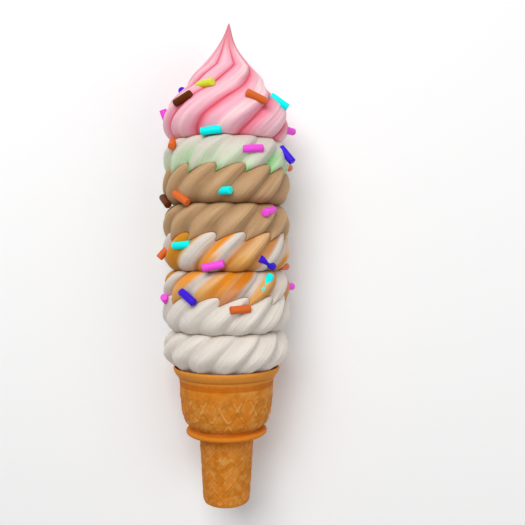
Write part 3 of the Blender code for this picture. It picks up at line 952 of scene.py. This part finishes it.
def rod_tree():
    """The tree that stands a sugar rod on each given point, along that point's aim."""
    tree = Tree(
        "Sugar rods",
        {"Rod length": 11.4, "Rod radius": 2.1, "Uneven length": 0.03, "Seed": 4},
    )
    given = tree.given
    sizes = {"Vertices": 24, "Radius": given("Rod radius") * MM, "Depth": given("Rod length") * MM}
    rod = tree.add("GeometryNodeMeshCylinder", sizes, fill_type="NGON")
    aim = tree.add("GeometryNodeInputNamedAttribute", {"Name": "aim"}, data_type="FLOAT_VECTOR")
    turned = tree.add("FunctionNodeAlignRotationToVector", {"Vector": aim.outputs[0]}, axis="Z")
    reach = given("Uneven length")
    between = {2: -reach, 3: reach, "Seed": given("Seed")}
    uneven = tree.add("FunctionNodeRandomValue", between, data_type="FLOAT")
    inputs = {
        "Points": tree.start.outputs["Geometry"],
        "Instance": rod.outputs["Mesh"],
        "Rotation": turned.outputs[0],
        "Scale": tree.vector(1.0, 1.0, Field(tree, uneven.outputs[1]) + 1.0),
    }
    placed = tree.add("GeometryNodeInstanceOnPoints", inputs)
    return tree.finish(placed.outputs[0])


def hidden_rods():
    """Rods for the side that the photograph doesn't show, spread with a seeded draw."""
    draw = random.Random(HIDDEN_SEED)
    middles = {row[0]: row[3] for row in ROLLS}
    middles[PEAK] = PEAK_WIDEST
    for node, count in HIDDEN_ROD_NODES:
        for number in range(count):
            side = 1 if number % 2 else -1
            angle = side * draw.uniform(*HIDDEN_ARC)
            rise = HIDDEN_RISE * (number // 2)
            height = middles[node] + rise + draw.uniform(-HIDDEN_SPREAD, HIDDEN_SPREAD)
            colour = draw.choice(ROD_COLOURS)
            yield node, colour, angle, height, draw.uniform(-HIDDEN_TILT, HIDDEN_TILT), 0, ROD_STAND


def rod_seat(tree, angle, height, tilt, lift, stand):
    """The middle and the aim of a rod stuck on a surface."""
    turn = math.radians(angle)
    outwards = Vector((math.sin(turn), 0.0, math.cos(turn)))
    axis_point = Vector((AXIS_X, FOOT_Y + height * MM, AXIS_Z))
    hit, facing, _, _ = tree.ray_cast(axis_point + outwards * RAY_START, -outwards)
    facing = outwards if lift else (facing + outwards).normalized()
    up_axis = Vector((0.0, 1.0, 0.0))
    across = up_axis.cross(outwards).normalized()
    lean = math.radians(tilt)
    along = across * math.cos(lean) + up_axis * math.sin(lean)
    along = (along - facing * along.dot(facing)).normalized()
    along = (along + facing * math.tan(math.radians(lift))).normalized()
    return hit + facing * (stand * MM), along


def colour_setting(name, description, value):
    return FloatVectorProperty(
        name=name, description=description, default=value, subtype="COLOR", size=3, min=0.0, max=1.0
    )


def millimetres(name, description, value):
    return FloatProperty(name=name, description=description, default=value, min=0.0)


class SoftServeSizes(bpy.types.PropertyGroup):
    """Sizes of the rolls and the peak, in millimetres."""

    roll_radius: millimetres("Roll radius", "Radius of a roll over its crests, in mm", 36.3)
    crease_radius: millimetres("Crease radius", "Radius of the seam between two rolls, in mm", 29.7)
    overlap_radius: millimetres("Overlap radius", "Radius of the fingers' ends, in mm", 33.3)
    finger_step: millimetres("Finger step", "How far the fingers stand proud, in mm", 0.2)
    finger_rise: millimetres("Finger rise", "How far the fingers reach up, in mm", 4.7)
    groove: millimetres("Groove depth", "Depth of the grooves in a roll, in mm", 2.7)
    peak_groove: millimetres("Peak groove depth", "Depth of the peak's grooves, in mm", 3.7)
    drag_lines: millimetres("Drag lines", "Depth of the fine lines along a lobe, in mm", 0.22)
    unevenness: millimetres("Unevenness", "Height of the slow swells, in mm", 0.45)
    columns: IntProperty(name="Columns", description="Points round a roll", default=624, min=39)
    rows: IntProperty(name="Rows", description="Points up a roll", default=112, min=20)


class WaferSizes(bpy.types.PropertyGroup):
    """Sizes of the wafer cup's pressed pattern."""

    rib_height: millimetres("Rib height", "Height of the pressed ribs, in mm", 0.36)
    stem_ribs: IntProperty(name="Stem ribs", description="Ribs round the stem", default=14, min=3)
    cup_ribs: IntProperty(name="Cup ribs", description="Ribs round the cup", default=17, min=3)
    columns: IntProperty(name="Columns", description="Points round the wafer", default=320, min=24)


class RodSizes(bpy.types.PropertyGroup):
    """Sizes of the sugar rods, in millimetres."""

    rod_length: millimetres("Rod length", "Length of a sugar rod, in mm", 11.4)
    rod_radius: millimetres("Rod radius", "Radius of a sugar rod, in mm", 2.1)
    edge: millimetres("Edge rounding", "Rounding of a rod's ends, in mm", 0.45)
    both_sides: BoolProperty(name="Both sides", description="Rods on the unseen side too", default=True)


# Each colour's use and its screen value
COLOURS = {
    "vanilla": ("Vanilla's body", 220, 210, 200),
    # Pale streaks, and painted light towards the lowest roll's foot
    "vanilla_light": ("Vanilla's crests", 237, 229, 219),
    # Painted shade in the grooves and the crease
    "vanilla_shade": ("Vanilla's grooves", 190, 180, 170),
    "chocolate": ("Chocolate's body", 185, 147, 106),
    "chocolate_light": ("Chocolate's crests", 208, 170, 128),
    # Painted shade in the grooves and the crease
    "chocolate_shade": ("Chocolate's grooves", 128, 92, 54),
    "caramel_white": ("White between the ripples", 224, 214, 203),
    "caramel": ("The bright ripple", 240, 148, 6),
    "caramel_soft": ("The ripple stirred in", 230, 170, 90),
    "caramel_tan": ("The brownish ripple", 196, 124, 40),
    "caramel_gold": ("The golden ripple", 214, 142, 24),
    "caramel_deep": ("The deep orange ripple", 210, 122, 18),
    # Painted shade in the grooves and the crease
    "caramel_shade": ("The ripple's grooves", 160, 112, 66),
    "mint_white": ("The white of the mint roll", 212, 203, 190),
    "mint_pale": ("The pale green", 210, 232, 194),
    "mint_green": ("The green in the valleys", 124, 212, 118),
    # Painted shade in the grooves
    "mint_shade": ("The grooves", 186, 186, 170),
    "strawberry": ("Strawberry's body", 245, 180, 197),
    # Pale streaks, and a painted highlight on the crests
    "strawberry_pale": ("The ridges", 255, 224, 222),
    "strawberry_tip": ("The tip", 255, 150, 162),
    # Painted shade in the grooves
    "strawberry_groove": ("The grooves", 240, 112, 136),
    # Painted shade at the bottoms of the grooves
    "strawberry_deep": ("The deepest lines", 205, 55, 72),
    "wafer": ("The wafer's body", 214, 144, 60),
    "wafer_brown": ("Darker patches", 196, 118, 28),
    "wafer_orange": ("Toasted patches", 212, 118, 10),
    "wafer_light": ("The ribs", 226, 170, 98),
    # Lines beside the ribs, the band and the rim's edge, and painted shade inside the cup
    "wafer_line": ("Lines beside the ribs", 192, 98, 4),
    "wafer_rim": ("The rim", 222, 144, 56),
    "wafer_collar": ("The collar", 218, 126, 26),
    "orange": ("Orange sugar", 226, 108, 44),
    "cyan": ("Cyan sugar", 0, 252, 248),
    "violet": ("Violet sugar", 250, 84, 230),
    "blue": ("Blue sugar", 62, 22, 222),
    "brown": ("Brown sugar", 100, 44, 0),
    "lemon": ("Lemon sugar", 222, 232, 60),
}


class IceCreamColours(bpy.types.PropertyGroup):
    """Colours of the flavours, the wafer and the sugar rods."""

    __annotations__ = {
        key: colour_setting(key.replace("_", " ").capitalize(), about, rgb(*screen))
        for key, (about, *screen) in COLOURS.items()
    }


class StageSettings(bpy.types.PropertyGroup):
    """The floor, the lights and the camera."""

    floor: colour_setting("Floor", "The pale floor", (0.97, 0.97, 0.97))
    ambient: FloatProperty(name="Ambient", description="Strength of the light all round", default=0.3)
    key: FloatProperty(name="Key light", description="Main light's power", default=9.3, unit="POWER")
    fill: FloatProperty(name="Fill light", description="Side light's power", default=2.5, unit="POWER")


def own_piece(piece, slot, node):
    """Ties a finished piece to the body and hides the solid that it stands for. The slot is not used.
    """
    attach(piece, BODY)
    if node:
        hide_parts(node)


def soft_serve_piece(node, tree, values):
    """Makes the soft serve that stands for a node."""
    piece = plain_mesh(node + "_soft_serve", tree, values)
    face_outwards(piece)
    own_piece(piece, SLOTS[node], node)


class OBJECT_OT_soft_serve_rolls(bpy.types.Operator):
    """Make the seven ridged rolls of soft serve"""

    bl_idname = "ice_cream.rolls"
    bl_label = "Soft-serve rolls"

    def execute(self, context):
        sizes = context.scene.soft_serve_sizes
        colours = context.scene.ice_cream_colours
        finishes = {"chocolate": chocolate_finish(colours), "mint": mint_finish(colours)}
        # Painted light at the foot of the lowest roll only
        for node, painted_foot_light in (("vanilla_roll_lower", 1.0), ("vanilla_roll_upper", 0.0)):
            finishes[node] = vanilla_finish(colours, node, painted_foot_light)
        for node in CARAMEL_STROKES:
            finishes[node] = caramel_finish(colours, node)
        tree = roll_tree()
        for index, (node, flavour, seam, widest, lapped_below, shift) in enumerate(ROLLS):
            is_last = index + 1 == len(ROLLS)
            lapped_above = not is_last and ROLLS[index + 1][4]
            tucked_edge = sizes.overlap_radius - sizes.finger_step
            lower_edge = tucked_edge if lapped_below else sizes.crease_radius
            values = {
                "Columns": sizes.columns,
                "Rows": sizes.rows,
                "Lower seam": seam,
                "Upper seam": PEAK_SEAM if is_last else ROLLS[index + 1][2],
                "Widest height": widest,
                "Lower edge radius": SEAT_RADIUS if index == 0 else lower_edge,
                "Upper edge radius": sizes.overlap_radius if lapped_above else sizes.crease_radius,
                "Roll radius": sizes.roll_radius,
                "Groove depth": sizes.groove,
                "Groove shift": shift,
                "Lapped below": float(lapped_below),
                "Lapped above": float(lapped_above),
                "In the cup": float(index == 0),
                "Finger rise": sizes.finger_rise,
                "Drag lines": sizes.drag_lines,
                "Unevenness": sizes.unevenness,
                "Roll number": float(index),
                "Finish": finishes.get(node) or finishes[flavour],
            }
            soft_serve_piece(node, tree, values)
        return {"FINISHED"}


class OBJECT_OT_soft_serve_peak(bpy.types.Operator):
    """Make the peak that the last turn is drawn up to"""

    bl_idname = "ice_cream.peak"
    bl_label = "Soft-serve peak"

    def execute(self, context):
        sizes = context.scene.soft_serve_sizes
        values = {
            "Edge radius": sizes.crease_radius,
            "Roll radius": sizes.roll_radius,
            "Groove depth": sizes.peak_groove,
            "Drag lines": sizes.drag_lines,
            "Unevenness": sizes.unevenness,
            "Finish": strawberry_finish(context.scene.ice_cream_colours),
        }
        soft_serve_piece(PEAK, peak_tree(), values)
        return {"FINISHED"}


class OBJECT_OT_pressed_wafer(bpy.types.Operator):
    """Make the wafer cup with its crossed ribs"""

    bl_idname = "ice_cream.wafer"
    bl_label = "Pressed wafer cup"

    def execute(self, context):
        sizes = context.scene.wafer_sizes
        values = {
            "Rib height": sizes.rib_height,
            "Stem ribs round": float(sizes.stem_ribs),
            "Cup ribs round": float(sizes.cup_ribs),
            "Finish": wafer_finish(context.scene.ice_cream_colours),
        }
        blank = turned_blank(sizes.columns)
        piece = plain_mesh("pressed_wafer_cup", pressed_wafer_tree(), values, blank)
        face_outwards(piece)
        own_piece(piece, "wafer", "wafer_cup")
        return {"FINISHED"}


class OBJECT_OT_sugar_rods(bpy.types.Operator):
    """Stick the sugar rods on the soft serve, one piece for each colour"""

    bl_idname = "ice_cream.rods"
    bl_label = "Sugar rods"

    def execute(self, context):
        sizes = context.scene.rod_sizes
        colours = context.scene.ice_cream_colours
        graph = context.evaluated_depsgraph_get()
        surfaces = {}
        for node in SLOTS:
            dressed = bpy.data.objects.get(node + "_soft_serve")
            if dressed is None:
                raise RuntimeError("the rods need the soft serve first")
            surfaces[node] = BVHTree.FromObject(dressed, graph)
        seats = {}
        entries = list(SHOWN_RODS)
        if sizes.both_sides:
            entries += hidden_rods()
        for node, colour, angle, height, tilt, lift, stand in entries:
            seat = rod_seat(surfaces[node], angle, height, tilt, lift, stand)
            seats.setdefault(colour, []).append(seat)
        tree = rod_tree()
        for colour, placed in seats.items():
            points = bpy.data.meshes.new(colour + "_points")
            points.from_pydata([middle for middle, _ in placed], [], [])
            aim = points.attributes.new("aim", "FLOAT_VECTOR", "POINT")
            for number, (_, along) in enumerate(placed):
                aim.data[number].vector = along
            finish = rod_finish(colour, tuple(getattr(colours, colour)))
            values = {
                "Rod length": sizes.rod_length,
                "Rod radius": sizes.rod_radius,
                "Finish": finish,
            }
            piece = plain_mesh(colour + "_sugar_rods", tree, values, points)
            bevel = piece.modifiers.new("edge", "BEVEL")
            bevel.width = sizes.edge * MM
            bevel.segments = 3
            bevel.limit_method = "ANGLE"
            bevel.angle_limit = math.radians(50)
            finished = context.evaluated_depsgraph_get()
            rounded = bpy.data.meshes.new_from_object(piece.evaluated_get(finished))
            piece.modifiers.clear()
            piece.data = rounded
            face_outwards(piece, 40.0)
            own_piece(piece, None, None)
        return {"FINISHED"}


# The floor, in metres, and each light's side and its place from the cone's middle
FLOOR_REACH = 3.0
FLOOR_LEVEL = -0.0002
FLOOR_CORNERS = ((-1, -1), (1, -1), (1, 1), (-1, 1))
KEY_PLACE = (0.7, (-0.22, 0.58, 0.9))
FILL_PLACE = (0.8, (0.7, -0.2, 0.8))

# The photograph's own view: a pixel's size at the axis, then in pixels the frame's side, the lens's
# distance from the axis, the frame's drop, and the lens's place right of the axis and above the foot
PIXEL = 0.5714 * MM
FRAME_SIDE = 525.0
LENS_DISTANCE = 650.0
FRAME_DROP = 14.5
EYE_RIGHT = 35.8
EYE_UP = 252.5


class OBJECT_OT_studio(bpy.types.Operator):
    """Set the pale floor, the soft lights and the camera above the lying cone"""

    bl_idname = "ice_cream.studio"
    bl_label = "Studio"

    def execute(self, context):
        scene = context.scene
        stage = scene.stage_settings
        mesh = bpy.data.meshes.new("pale_floor")
        corners = [(x * FLOOR_REACH, y * FLOOR_REACH, FLOOR_LEVEL) for x, y in FLOOR_CORNERS]
        mesh.from_pydata(corners, [], [(0, 1, 2, 3)])
        floor = bpy.data.objects.new("pale_floor", mesh)
        scene.collection.objects.link(floor)
        finish = Finish("floor_paper", 0.9)
        cloud = finish.noise(finish.here(), 3.0, 1.0)
        finish.colour(finish.blend(cloud * 0.01 + 0.01, tuple(stage.floor), (0.93, 0.93, 0.93)))
        mesh.materials.append(finish.material)

        world = bpy.data.worlds.new("studio")
        scene.world = world
        world.use_nodes = True
        background = world.node_tree.nodes["Background"].inputs
        background["Color"].default_value = (1.0, 1.0, 1.0, 1.0)
        background["Strength"].default_value = stage.ambient

        target = Vector((AXIS_X, 0.0, AXIS_Z))
        for name, power, size, offset in (
            ("key_light", stage.key, *KEY_PLACE),
            ("fill_light", stage.fill, *FILL_PLACE),
        ):
            light = bpy.data.lights.new(name, "AREA")
            light.energy = power
            light.size = size
            lamp = bpy.data.objects.new(name, light)
            scene.collection.objects.link(lamp)
            lamp.location = target + Vector(offset)
            lamp.rotation_euler = (-Vector(offset)).to_track_quat("-Z", "Y").to_euler()

        camera = bpy.data.cameras.new("camera")
        camera.lens = camera.sensor_width * LENS_DISTANCE / FRAME_SIDE
        camera.shift_y = -FRAME_DROP / FRAME_SIDE
        camera.clip_end = 20.0
        holder = bpy.data.objects.new("camera", camera)
        scene.collection.objects.link(holder)
        right, up, away = (part * PIXEL for part in (EYE_RIGHT, EYE_UP, LENS_DISTANCE))
        holder.matrix_world = Matrix.Translation((AXIS_X + right, FOOT_Y + up, AXIS_Z + away))
        scene.camera = holder
        scene.view_settings.view_transform = "Standard"
        return {"FINISHED"}


class VIEW3D_PT_ice_cream(bpy.types.Panel):
    """The sizes, the colours and the pieces"""

    bl_idname = "VIEW3D_PT_ice_cream"
    bl_label = "Ice cream cone"
    bl_space_type = "VIEW_3D"
    bl_region_type = "UI"
    bl_category = "Ice cream"

    def draw(self, context):
        layout = self.layout
        for name in SETTINGS:
            group = getattr(context.scene, name)
            box = layout.box()
            for key in group.bl_rna.properties.keys():
                if key not in ("rna_type", "name"):
                    box.prop(group, key)
        for operator in PIECES:
            layout.operator(operator.bl_idname)


SETTINGS = {
    "soft_serve_sizes": SoftServeSizes,
    "wafer_sizes": WaferSizes,
    "rod_sizes": RodSizes,
    "ice_cream_colours": IceCreamColours,
    "stage_settings": StageSettings,
}
PIECES = (
    OBJECT_OT_soft_serve_rolls,
    OBJECT_OT_soft_serve_peak,
    OBJECT_OT_pressed_wafer,
    OBJECT_OT_sugar_rods,
    OBJECT_OT_studio,
)


def register():
    for group in SETTINGS.values():
        bpy.utils.register_class(group)
    for operator in PIECES:
        bpy.utils.register_class(operator)
    bpy.utils.register_class(VIEW3D_PT_ice_cream)
    for name, group in SETTINGS.items():
        setattr(bpy.types.Scene, name, PointerProperty(type=group))


def unregister():
    for name in SETTINGS:
        delattr(bpy.types.Scene, name)
    bpy.utils.unregister_class(VIEW3D_PT_ice_cream)
    for operator in reversed(PIECES):
        bpy.utils.unregister_class(operator)
    for group in reversed(SETTINGS.values()):
        bpy.utils.unregister_class(group)


def main():
    register()
    bpy.ops.ice_cream.rolls()
    bpy.ops.ice_cream.peak()
    bpy.ops.ice_cream.wafer()
    bpy.ops.ice_cream.rods()
    bpy.ops.ice_cream.studio()


if __name__ == "__main__":
    main()
